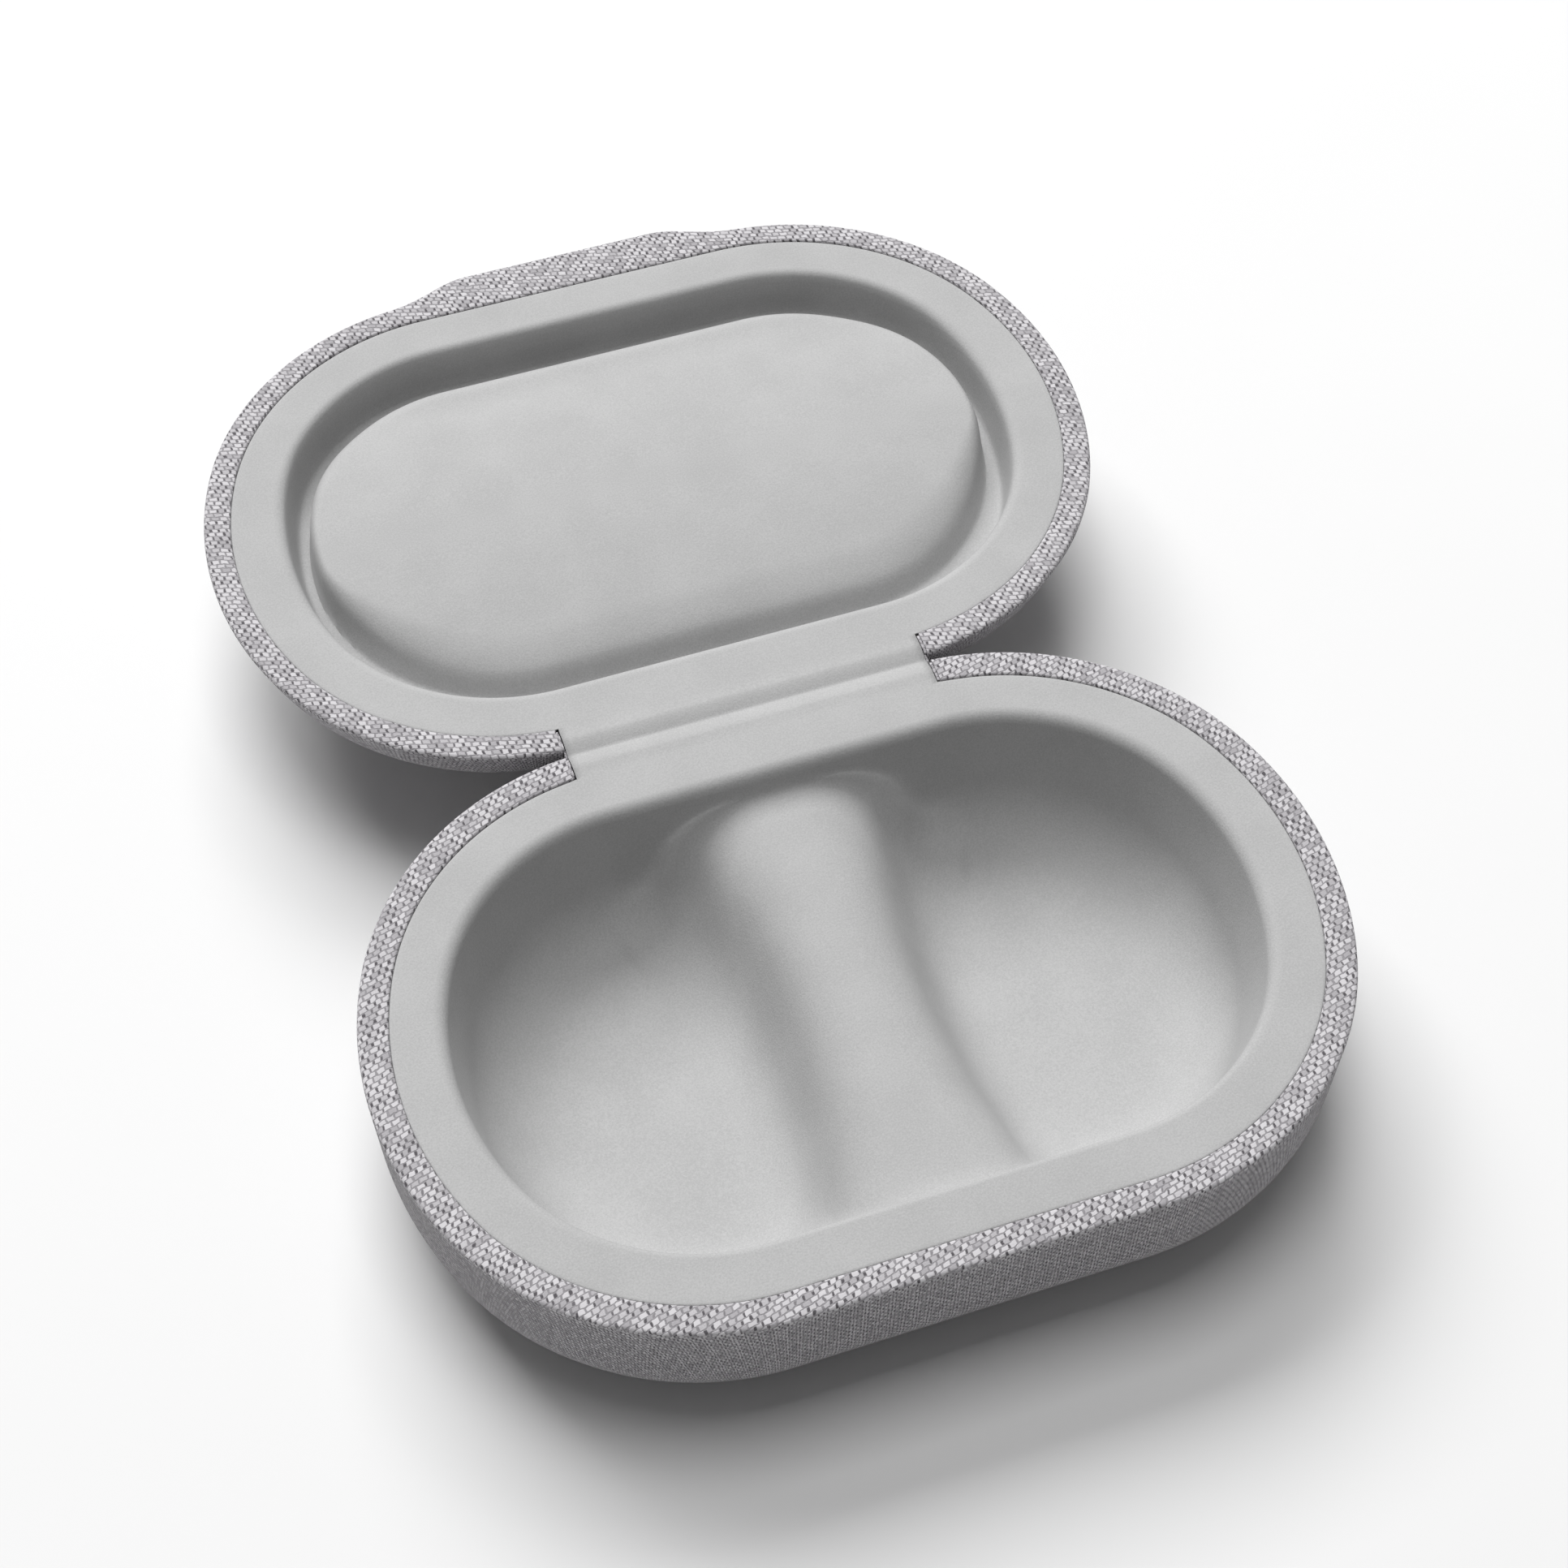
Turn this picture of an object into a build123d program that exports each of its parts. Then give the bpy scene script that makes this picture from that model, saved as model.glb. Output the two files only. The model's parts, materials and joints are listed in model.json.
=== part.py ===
from build123d import *
import math
import os
from collections import namedtuple

# A small hard clamshell case for a pair of hearing instruments, lying open at 180 degrees.
# Origin: centre of the base's resting face. +X runs along the hinge, +Y from the base's front
# edge to its hinge, +Z up. Lengths are in millimetres and angles in degrees.
# Each half is drawn in its own frame: its rim lies in the local XY plane, the half hangs below
# it, and its hinge is on the local +Y side.

# Outline of the lining, the edge that every other outline is grown from
half_length = 38.4
half_width = 25.7
corner_radius = 23.1
tip_radius = 29.8

# Layers
band_width = 2.6            # woven band on the rim, outside the lining
fabric_thickness = 0.9
shell_thickness = 1.5
lining_thickness = 0.6
tape_thickness = 0.3
inner_clearance = 0.05      # between the shell and what stands inside it
rim_fold_radius = 0.4       # fold of the fabric at the outer edge of the rim
beyond = 50.0               # half size of the blocks that trim a half, larger than the case
above_rim = 5.0             # how far those blocks stand above the rim
overlap = 1.0               # how far a cutting block runs past the face it opens

# The two halves
rim_height = 16.0
base_draft = 3.0
base_edge_radius = 9.5
lid_depth = 7.6
lid_draft = 20.0
lid_edge_radius = 8.0
lip_width = 4.5             # flat lining between its outer edge and the hollow
frame_depth = 3.0           # underside of the rim frame, below the rim

# Hinge
fold_gap = 0.15             # from each half to the fold line
closed_gap = 0.2            # between the two rims when the case is shut
tongue_half = 16.3          # lining that crosses the fold
tongue_root = 1.0           # how far the tongue starts inside the lining's edge
tongue_edge_radius = 0.5    # rounding of its upper edge on the fold line
band_cut_half = 16.6        # where the woven bands stop beside it
band_cut_inner = 4.0        # from the lining's edge to the inner and outer ends of that cut
band_cut_outer = 6.0
tape_half = 16.2
tape_inset = 7.8

# Pockets in the base
saddle_depth = 2.4
saddle_mid_half = 4.6
saddle_front_half = 7.4
saddle_back_half = 5.6
pocket_depth = 12.6
pocket_draft = 12.0
pocket_corner_radius = 8.0
pocket_floor_radius = 6.5

# Raised pad and groove in the lid
groove_depth = 4.5
pad_inset = 7.3
pad_top = 1.4
pad_roll_radius = 2.9

# Finger lip on the lid's front edge
lip_reach = 2.3
lip_crest_half = 10.4
lip_run = 6.6               # length of each flowing end
lip_drop = 4.2
lip_draft = 15.0

# Closing magnets, two in each rim frame
magnet_length = 10.0
magnet_width = 1.8
magnet_height = 1.8
magnet_inset = 2.45         # from the lining's edge to the magnet's middle
magnet_spacing = 26.0
seat_clearance = 0.1

hinge_y = half_width + band_width + fold_gap
hinge_z = rim_height + closed_gap / 2
straight_half = (half_length - tip_radius) + math.sqrt(
    (tip_radius - corner_radius) ** 2 - (half_width - corner_radius) ** 2
)
corner_turn = 90 - math.degrees(
    math.atan2(half_width - corner_radius, straight_half - (half_length - tip_radius))
)

Half = namedtuple("Half", "name rim depth draft edge_radius")
base = Half("base", Plane((0, 0, rim_height)), rim_height, base_draft, base_edge_radius)
lid = Half(
    "lid",
    Plane((0, 2 * hinge_y, rim_height), x_dir=(-1, 0, 0), z_dir=(0, 0, 1)),
    lid_depth,
    lid_draft,
    lid_edge_radius,
)


def outline(growth):
    """The lining's edge, grown outwards: straight sides, corner arcs and a flatter arc per tip."""
    with BuildSketch() as face:
        with BuildLine():
            side = Line((0, half_width + growth), (straight_half, half_width + growth))
            corner = JernArc(side @ 1, side % 1, corner_radius + growth, -corner_turn)
            JernArc(corner @ 1, corner % 1, tip_radius + growth, corner_turn - 90)
            mirror(about=Plane.XZ)
            mirror(about=Plane.YZ)
        make_face()
    return face.sketch


def prism(half, growth, top, bottom):
    """Straight block of the outline, between two depths below the rim."""
    with BuildPart() as block:
        with BuildSketch(half.rim.offset(-bottom)):
            add(outline(growth))
        extrude(amount=bottom - top)
    return block.part


def slab(half, size_x, y_range, z_range, x=0):
    """Rectangular block in the half's frame, with depths below the rim."""
    with BuildPart() as block:
        with BuildSketch(half.rim.offset(-z_range[1])):
            with Locations((x, sum(y_range) / 2)):
                Rectangle(size_x, y_range[1] - y_range[0])
        extrude(amount=z_range[1] - z_range[0])
    return block.part


def block_above(half, depth):
    """Everything from above the rim down to a depth."""
    return slab(half, 2 * beyond, (-beyond, beyond), (-above_rim, depth))


def layer(half, depth_in):
    """The half's outer form, shrunk by depth_in on its sides and its floor."""
    with BuildPart() as form:
        with BuildSketch(half.rim):
            add(outline(band_width - depth_in / math.cos(math.radians(half.draft))))
        extrude(amount=depth_in - half.depth, taper=half.draft)
        floor = form.faces().sort_by(Axis.Z)[0]
        fillet(floor.edges(), half.edge_radius - depth_in)
    return form.part


def finger_lip(depth_in):
    """Flowing ledge on the lid's front edge, shrunk by depth_in."""
    front = -(half_width + band_width - depth_in)
    turn = 2 * math.degrees(math.atan2(lip_reach, lip_run))
    radius = (lip_run**2 + lip_reach**2) / (4 * lip_reach)
    with BuildPart() as ledge:
        with BuildSketch(lid.rim):
            with BuildLine():
                start = (lip_crest_half + lip_run, front)
                foot = JernArc(start, (-1, 0), radius, turn)
                crest = JernArc(foot @ 1, foot % 1, radius, -turn)
                Line(crest @ 1, (0, front - lip_reach))
                Line(start, (lip_crest_half + lip_run, front + band_width))
                Line((lip_crest_half + lip_run, front + band_width), (0, front + band_width))
                mirror(about=Plane.YZ)
            make_face()
        extrude(amount=depth_in - lip_drop, taper=lip_draft)
    return ledge.part


def folded(form, half):
    """The same form with its outer rim edge rounded, as cloth folds over it."""
    with BuildPart() as rounded:
        add(form)
        top = rounded.faces().sort_by(Axis.Z)[-1]
        inner_reach = half_width + band_width / 2
        edges = top.edges().filter_by(lambda edge: reach(edge, half) > inner_reach)
        fillet(edges, rim_fold_radius)
    return rounded.part


def reach(edge, half):
    """Distance of an edge's middle from the half's centre."""
    return (edge.center() - half.rim.origin).length


def outer_form(half, depth_in, fold=False):
    """Outer form of a half, with the finger lip on the lid."""
    shapes = [layer(half, depth_in)]
    if half is lid:
        shapes.append(finger_lip(depth_in))
    if fold:
        shapes = [folded(shape, half) for shape in shapes]
    with BuildPart() as form:
        add(shapes)
    return form.part


def outer_fabric(half):
    """Woven skin: floor, sides and the band turned in over the rim, cut away beside the tongue."""
    outside = outer_form(half, 0, fold=True)
    inside = outer_form(half, fabric_thickness)
    above_shell = block_above(half, fabric_thickness)
    opening = prism(half, 0, 0, fabric_thickness)
    cut_range = (half_width - band_cut_inner, half_width + band_cut_outer)
    hinge_cut = slab(half, 2 * band_cut_half, cut_range, (-overlap, fabric_thickness))
    with BuildPart() as shell_form:
        add(inside)
        add(above_shell, mode=Mode.SUBTRACT)
    with BuildPart() as piece:
        add(outside)
        add(shell_form.part, mode=Mode.SUBTRACT)
        add(opening, mode=Mode.SUBTRACT)
        add(hinge_cut, mode=Mode.SUBTRACT)
    return piece


def shell(half):
    """Stiff moulded cup inside the fabric."""
    outside = outer_form(half, fabric_thickness)
    inside = layer(half, fabric_thickness + shell_thickness)
    above = block_above(half, fabric_thickness)
    with BuildPart() as piece:
        add(outside)
        add(above, mode=Mode.SUBTRACT)
        add(inside, mode=Mode.SUBTRACT)
    return piece


def room(half):
    """Space inside the shell."""
    return layer(half, fabric_thickness + shell_thickness + inner_clearance)


def magnet_blocks(half, clearance):
    """The two closing magnets near the front edge, or their seats when grown by clearance."""
    middle = magnet_inset - half_width
    width = magnet_width + 2 * clearance
    y_range = (middle - width / 2, middle + width / 2)
    z_range = (lining_thickness, lining_thickness + magnet_height + clearance)
    length = magnet_length + 2 * clearance
    return [slab(half, length, y_range, z_range, side * magnet_spacing / 2) for side in (-1, 1)]


def rim_frame(half):
    """Flat ring under the lining's rim, with seats for the magnets and the hinge tape."""
    space = room(half)
    ring = prism(half, -inner_clearance, lining_thickness, frame_depth)
    hole = prism(half, lining_thickness - lip_width, 0, frame_depth + overlap)
    seat_bottom = lining_thickness + tape_thickness
    tape_seat = slab(half, 2 * beyond, (half_width - tape_inset, beyond), (0, seat_bottom))
    seats = magnet_blocks(half, seat_clearance)
    with BuildPart() as piece:
        add(ring)
        add(space, mode=Mode.INTERSECT)
        add(hole, mode=Mode.SUBTRACT)
        add(tape_seat, mode=Mode.SUBTRACT)
        add(seats, mode=Mode.SUBTRACT)
    return piece


def hinge_tape(half):
    """Half of the reinforcing tape that lies under the lining across the fold."""
    y_range = (half_width - lip_width + lining_thickness, half_width + band_width)
    strip = slab(half, 2 * tape_half, y_range, (lining_thickness, lining_thickness + tape_thickness))
    with BuildPart() as piece:
        add(strip)
    return piece


def rim_sheet(half):
    """Flat lining on the rim, with the half of the tongue that reaches the fold line."""
    flat = prism(half, 0, 0, lining_thickness)
    y_range = (half_width - tongue_root, half_width + band_width)
    tongue = slab(half, 2 * tongue_half, y_range, (0, lining_thickness))
    with BuildPart() as sheet:
        add(tongue)
        upper = sheet.edges().filter_by(Axis.X).group_by(Axis.Z)[-1]
        fold_edge = upper.sort_by(lambda edge: half.rim.to_local_coords(edge.center()).Y)[-1]
        fillet(fold_edge, tongue_edge_radius)
        add(flat)
    return sheet.part


def pockets_void(growth):
    """Hollow of the base: a shallow well with a deep pocket at each end of a low saddle."""
    top = base.rim
    with BuildPart() as void:
        with BuildSketch(top):
            add(outline(growth - lip_width))
        extrude(amount=-(saddle_depth + growth))
        for side in (-1, 1):
            with BuildSketch(top.offset(-saddle_depth)) as pocket:
                add(outline(growth - lip_width))
                with BuildLine():
                    far_x = side * beyond
                    front = (side * (saddle_front_half - growth), -half_width)
                    middle = (side * (saddle_mid_half - growth), 0)
                    back = (side * (saddle_back_half - growth), half_width)
                    ThreePointArc(front, middle, back)
                    Polyline(back, (far_x, half_width), (far_x, -half_width), front)
                make_face(mode=Mode.INTERSECT)
                saddle_corners = pocket.vertices().sort_by(lambda corner: abs(corner.X))[:2]
                fillet(saddle_corners, pocket_corner_radius)
            extrude(amount=-(pocket_depth - saddle_depth + growth), taper=pocket_draft)
        floors = void.faces().group_by(Axis.Z)[0]
        fillet(floors.edges(), pocket_floor_radius + growth)
    return void.part


def pocket_insert():
    """Foam block that fills the base under the lining."""
    space = room(base)
    above = block_above(base, frame_depth)
    void = pockets_void(lining_thickness)
    with BuildPart() as piece:
        add(space)
        add(above, mode=Mode.SUBTRACT)
        add(void, mode=Mode.SUBTRACT)
    return piece


def base_lining():
    """Soft lining of the base: rim, pockets and its half of the tongue."""
    skin = pockets_void(lining_thickness)
    void = pockets_void(0)
    sheet = rim_sheet(base)
    with BuildPart() as piece:
        add(skin)
        add(sheet)
        add(void, mode=Mode.SUBTRACT)
    return piece


def pad_form(depth_in):
    """Raised pad of the lid, shrunk by depth_in, down to the shell's floor."""
    bottom = lid_depth - fabric_thickness - shell_thickness - inner_clearance
    with BuildPart() as form:
        with BuildSketch(lid.rim.offset(-bottom)):
            add(outline(-pad_inset - depth_in))
        extrude(amount=bottom - pad_top - depth_in)
        fillet(form.faces().sort_by(Axis.Z)[-1].edges(), pad_roll_radius - depth_in)
    return form.part


def lid_pad():
    """Foam under the raised part of the lid's lining."""
    foam = pad_form(lining_thickness)
    with BuildPart() as piece:
        add(foam)
    return piece


def lid_lining():
    """Soft lining of the lid: rim, groove, raised pad and its half of the tongue."""
    skin = prism(lid, lining_thickness - lip_width, 0, groove_depth + lining_thickness)
    well = prism(lid, -lip_width, 0, groove_depth)
    sheet = rim_sheet(lid)
    pad_skin = pad_form(0)
    foam = pad_form(lining_thickness)
    space = room(lid)
    with BuildPart() as below_rim:
        add(skin)
        add(space, mode=Mode.INTERSECT)
    with BuildPart() as hollow:
        add(well)
        add(pad_skin, mode=Mode.SUBTRACT)
    with BuildPart() as piece:
        add(below_rim.part)
        add(sheet)
        add(hollow.part, mode=Mode.SUBTRACT)
        add(foam, mode=Mode.SUBTRACT)
    return piece


def magnets(half):
    """The half's two magnets, as separate pieces."""
    pieces = {}
    blocks = magnet_blocks(half, 0)
    for block in blocks:
        side = "left" if block.center().X < 0 else "right"
        with BuildPart() as piece:
            add(block)
        pieces[f"{half.name}_magnet_{side}"] = piece
    return pieces


parts = {
    "base_pocket_insert": pocket_insert(),
    "base_lining": base_lining(),
    "lid_pad": lid_pad(),
    "lid_lining": lid_lining(),
}
for half in (base, lid):
    parts[f"{half.name}_outer_fabric"] = outer_fabric(half)
    parts[f"{half.name}_shell"] = shell(half)
    parts[f"{half.name}_rim_frame"] = rim_frame(half)
    parts[f"{half.name}_hinge_tape"] = hinge_tape(half)
    parts.update(magnets(half))

os.makedirs("parts", exist_ok=True)
for name, piece in parts.items():
    piece.part.label = name
    export_step(piece.part, f"parts/{name}.step")
print(f"hinge axis at y {hinge_y:.2f}, z {hinge_z:.2f}; straight side half {straight_half:.2f}")
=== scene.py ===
import json
import math

import bmesh
import bpy
import numpy as np
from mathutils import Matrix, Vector


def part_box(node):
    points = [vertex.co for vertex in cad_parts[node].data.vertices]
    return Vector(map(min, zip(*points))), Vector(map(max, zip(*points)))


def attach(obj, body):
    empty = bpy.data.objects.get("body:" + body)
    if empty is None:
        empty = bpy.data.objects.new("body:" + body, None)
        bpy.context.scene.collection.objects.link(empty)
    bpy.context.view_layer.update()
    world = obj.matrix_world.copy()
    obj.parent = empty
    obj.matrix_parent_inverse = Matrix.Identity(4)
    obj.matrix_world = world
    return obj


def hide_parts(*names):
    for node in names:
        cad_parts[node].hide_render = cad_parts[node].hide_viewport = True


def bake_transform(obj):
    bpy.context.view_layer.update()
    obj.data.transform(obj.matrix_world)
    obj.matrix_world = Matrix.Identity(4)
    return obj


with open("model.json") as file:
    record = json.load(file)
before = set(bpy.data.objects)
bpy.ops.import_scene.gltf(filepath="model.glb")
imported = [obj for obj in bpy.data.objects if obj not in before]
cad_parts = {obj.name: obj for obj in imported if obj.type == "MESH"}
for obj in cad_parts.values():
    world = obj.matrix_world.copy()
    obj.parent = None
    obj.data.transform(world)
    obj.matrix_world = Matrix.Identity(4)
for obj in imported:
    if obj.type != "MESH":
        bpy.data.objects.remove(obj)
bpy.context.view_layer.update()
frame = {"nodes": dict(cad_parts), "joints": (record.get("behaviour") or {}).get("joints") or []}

# A small clamshell case for a pair of hearing instruments, open flat. Lengths are millimetres
# until a mesh is made; the frame, the lights and the camera are in metres. Each half is laid out
# in its own plan: x along the hinge, y towards the hinge, and depth below the rim.
MM = 0.001


def box_mm(node):
    """A CAD node's lowest and highest corners at rest."""
    return [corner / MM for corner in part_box(node)]


# Sizes that the frame gives
base_low, base_high = box_mm("base_outer_fabric")
rim_z = base_high.z
half_length = box_mm("base_lining")[1].x
band_width = base_high.x - half_length
half_width = -base_low.y - band_width
hinge = next(joint for joint in frame["joints"] if joint["name"] == "lid_hinge")
hinge_y, hinge_z = (value / MM for value in hinge["pos_m"][1:])
lid_depth = rim_z - box_mm("lid_outer_fabric")[0].z
base_floor = rim_z - box_mm("base_pocket_insert")[0].z
lid_floor = rim_z - box_mm("lid_pad")[0].z

# Outline arcs of the lining's edge
corner_radius = 23.1
tip_radius = 29.8

# Rim and hinge
rim_width = 4.5             # flat lining between its edge and the hollows
lining_sink = 0.13          # the lining lies this far below the rim's woven band
band_crown = 0.05
band_start = -0.01          # the band's inner edge, and how deep it is tucked in there
tuck_depth = 0.9
fold_radius = 0.38
band_cut_half = 16.6
square_turn = 6.0           # degrees the outline turns while the band runs square to the hinge
square_ease = 9.0           # and then until it runs square to the outline
tongue_half = 16.3
tape_half = 16.48
spine_half = 16.5
cut_depth = 1.2             # top of the back walls under the tongue
groove_half = 1.65          # the fold across the hinge
groove_depth = 0.5
groove_round = 0.12         # rounding of its bottom
groove_ease = 1.6           # above 1, so that its edges ease into the flat
tape_reach = 3.9            # how far the tape runs in under the rim, from the lining's edge
tape_sink = 0.42            # how far it lies below the lining's face
spine_lap = 0.02            # how far the spine reaches into the back walls
spine_sink = 0.04
spine_sag = 0.1
spine_end_depth = 0.45      # its ends are turned up to here

# Outer forms
base_draft = 3.0
base_edge_radius = 9.5
lid_draft = 20.0
lid_edge_radius = 8.0
floor_end = -21.5           # growth at which the rings give way to the middle strip
lip_reach = 2.1             # the finger lip, beyond the lid's outline
lip_crest_half = 9.4
lip_run = 7.6               # length of each flowing end
lip_depth = 4.0             # its depth, and the fall from there back to the wall
lip_fall = 1.7

# Hollows
saddle_depth = 2.4
pocket_depth = 12.6
saddle_radius = 6.0         # rounding of the saddle's shoulders, and of their foot
saddle_foot_radius = 5.5
saddle_slope = 65.0         # degrees
saddle_toe = 0.25           # rise of the saddle's ends into the front and back walls
saddle_toe_run = 2.2
crest_half = 0.1            # half the flat of the crest at its middle
crest_flare_front = 2.8     # how much wider it is flare_at away from there
crest_flare_back = 0.9
slope_flare_back = 0.4      # and how much gentler its slope is at the back
flare_at = 20.0
soft_edge_radius = 1.25      # rounding of the pockets' edge at the back
crisp_edge_radius = 0.6      # and at the front, which gives way over soft_run from crisp_end
crisp_end = -22.0
soft_run = 14.0
pocket_draft = 12.0
floor_radius = 6.5          # rounding where walls meet the pockets' floor
corner_blend = 6.0          # rounding of the pockets' corners in plan, beside the saddle
least_blend = 0.4           # the same at the top of the saddle
blend_growth = 2.4
lid_groove = 4.6            # the lid's hollow: its depth, and the run of its wall
lid_wall_run = 0.65
pad_foot = 6.1              # where the pad's side starts, from the lining's edge, and its run
pad_wall_run = 1.0
pad_depth = 0.35            # the pad's top
pad_dome = 1.3              # how far the pad falls from its middle line to its rolled edges
pad_half = 14.2             # from the pad's middle line to its rolled edges
pad_ease = 2.8              # over which the dome's slope gives way to theirs
frame_depth = 3.0           # underside of the rim frames
clear = 0.05                # kept between pieces that touch in the real case

# Cloth
lining_thickness = 0.4
skin_thickness = 0.3
tape_thickness = 0.12
spine_thickness = 0.15
under_lining = lining_thickness + clear
float_gap_x, float_gap_y = 0.72, 0.49   # from one float of the weave to the next
float_skew = 0.28           # rise of its rows
rib_gap = 0.465             # from rib to rib on the sides, in the sides' finer threads
wall_fineness = 1.5         # how much finer the weave is on the sides than on the rim
rib_and_shade_full, rib_and_shade_gone = 0.7, 0.25           # depths where the sides' ribs, with their painted shade, are in full, and gone

# Fineness of the meshes
arc_step = 6.0              # degrees from point to point round a profile's corner
lining_gap = 0.8            # from column to column round the edge
skin_gap = 0.72
middle_rings = 5            # rings between the last inset and the middle line
middle_gap = 0.74           # and the inset that each adds
skin_middle_rings = 8
fold_rows = 8               # rows of the skin's fold, from the band to the cut
weld_gap = 2e-7             # metres
least_area = 1e-13          # square metres: smaller faces are collapsed ones


def smoothstep(value):
    held = np.clip(value, 0, 1)
    return held * held * (3 - 2 * held)


def bend_points(before, corner, after, radius):
    """Points of the arc that rounds a corner of a profile, given as complex numbers."""
    way_in = (corner - before) / abs(corner - before)
    way_out = (after - corner) / abs(after - corner)
    turn = np.angle(way_out / way_in)
    start = corner - radius * math.tan(abs(turn) / 2) * way_in
    centre = start + np.sign(turn) * 1j * radius * way_in
    steps = max(4, int(math.ceil(abs(turn) / math.radians(arc_step))))
    return centre + (start - centre) * np.exp(1j * np.linspace(0, turn, steps + 1))


def profile(corners):
    """Rounded profile from corners: (across, depth, radius, spacing of the run that follows)."""
    knots = [complex(across, depth) for across, depth, radius, gap in corners]
    pieces = [np.array(knots[:1])]
    last = knots[0]
    for i in range(1, len(knots)):
        radius = corners[i][2]
        if radius and i < len(knots) - 1:
            arc = bend_points(knots[i - 1], knots[i], knots[i + 1], radius)
        else:
            arc = np.array(knots[i : i + 1])
        steps = max(1, int(math.ceil(abs(arc[0] - last) / corners[i - 1][3])))
        run = last + (arc[0] - last) * np.arange(1, steps + 1) / steps
        pieces += [run, arc[1:]]
        last = arc[-1]
    points = np.concatenate(pieces)
    return points.real, points.imag


straight_half = (half_length - tip_radius) + math.sqrt(
    (tip_radius - corner_radius) ** 2 - (half_width - corner_radius) ** 2
)
corner_turn = math.pi / 2 - math.atan2(
    half_width - corner_radius, straight_half - (half_length - tip_radius)
)
corner_run = straight_half + corner_radius * corner_turn
quarter_run = corner_run + tip_radius * (math.pi / 2 - corner_turn)


def edge_run(x):
    """Length along the edge from the middle of the back to where the edge is at x."""
    return straight_half + corner_radius * math.asin((x - straight_half) / corner_radius)


def columns(split_x, gap):
    """Feet and outward directions of the columns round the edge, with one at x = +-split_x.

    The second set of directions is for the band, which is cut square beside the hinge.
    """
    split = edge_run(split_x)
    near = np.linspace(0, split, int(round(split / gap)) + 1)
    far = np.linspace(split, quarter_run, int(round((quarter_run - split) / gap)) + 1)
    run = np.concatenate([near, far[1:]])
    corner_angle = np.clip((run - straight_half) / corner_radius, 0, corner_turn)
    angle = corner_angle + np.clip((run - corner_run) / tip_radius, 0, None)
    out = np.stack([np.sin(angle), np.cos(angle)], 1)
    foot = np.stack([np.minimum(run, straight_half), 0 * run + half_width - corner_radius], 1)
    foot += corner_radius * out
    tip = run > corner_run
    foot[tip] = np.array([half_length - tip_radius, 0]) + tip_radius * out[tip]
    least = 0.2             # keeps the division from running away; those columns aren't square
    square = np.stack([0 * angle, 1 / np.maximum(out[:, 1], least)], 1)
    share = smoothstep((np.degrees(angle) - square_turn) / square_ease)[:, None]
    back = square * (1 - share) + out * share
    flip_x, flip_y = np.array([-1, 1]), np.array([1, -1])

    def round_trip(near_hinge, elsewhere):
        quarters = (near_hinge[:-1], elsewhere[:0:-1] * flip_y, elsewhere[:-1] * -1)
        return np.concatenate([*quarters, near_hinge[:0:-1] * flip_x])

    return round_trip(foot, foot), round_trip(out, out), round_trip(back, out)


def to_row_frame(x, y, depth, on_lid):
    """Points of a half's plan in the row frame, in metres; the lid lies beyond the hinge."""
    across = 2 * hinge_y - y if on_lid else y
    return np.stack(np.broadcast_arrays(x, across, rim_z - depth), -1) * MM


class Surface:
    """Gathers grids of points into one mesh, with the rest position and thread lines kept."""

    def __init__(self):
        self.points, self.faces, self.threads = [], [], []
        self.count = 0

    def add(self, points, closed=False, flip=False, keep=None, threads=None):
        """threads are the thread lines at the points: one grid, or (first row, grid) pairs."""
        rows, cols = points.shape[:2]
        index = self.count + np.arange(rows * cols).reshape(rows, cols)
        self.points.append(points.reshape(-1, 3))
        self.count += rows * cols
        if threads is None:
            threads = points[..., :2] / MM
        if not isinstance(threads, list):
            threads = [(0, threads)]
        for r in range(rows - 1):
            source = [grid for first, grid in threads if first <= r][-1]
            for c in range(cols if closed else cols - 1):
                if keep is not None and not keep[r, c]:
                    continue
                d = (c + 1) % cols
                ring = [(r, c), (r, d), (r + 1, d), (r + 1, c)]
                if flip:
                    ring.reverse()
                self.faces.append([index[at] for at in ring])
                self.threads.append([source[at] for at in ring])
        return index

    def face(self, corners, threads):
        self.faces.append(list(corners))
        self.threads.append(list(threads))

    def make(self, name, material, sharp=40.0):
        points = np.concatenate(self.points)
        mesh = bpy.data.meshes.new(name)
        mesh.from_pydata(points.tolist(), [], [[int(i) for i in face] for face in self.faces])
        uv = mesh.uv_layers.new(name="threads")
        uv.data.foreach_set("uv", np.concatenate(self.threads).astype(np.float32).ravel())
        form = bmesh.new()
        form.from_mesh(mesh)
        bmesh.ops.remove_doubles(form, verts=form.verts, dist=weld_gap)
        flat = [face for face in form.faces if face.calc_area() < least_area]
        bmesh.ops.delete(form, geom=flat, context="FACES_ONLY")
        loose = [vert for vert in form.verts if not vert.link_faces]
        bmesh.ops.delete(form, geom=loose, context="VERTS")
        form.to_mesh(mesh)
        form.free()
        place = mesh.attributes.new("place", "FLOAT_VECTOR", "POINT")
        rest = np.zeros(len(mesh.vertices) * 3, np.float32)
        mesh.vertices.foreach_get("co", rest)
        place.data.foreach_set("vector", rest)
        mesh.shade_smooth()
        mesh.set_sharp_from_angle(angle=math.radians(sharp))
        mesh.materials.append(material)
        piece = bpy.data.objects.new(name, mesh)
        bpy.context.scene.collection.objects.link(piece)
        return piece


def thicken(piece, thickness):
    """Give a sheet its thickness, inwards from the face that shows."""
    solid = piece.modifiers.new("thickness", "SOLIDIFY")
    solid.thickness = thickness * MM
    solid.offset = -1


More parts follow.
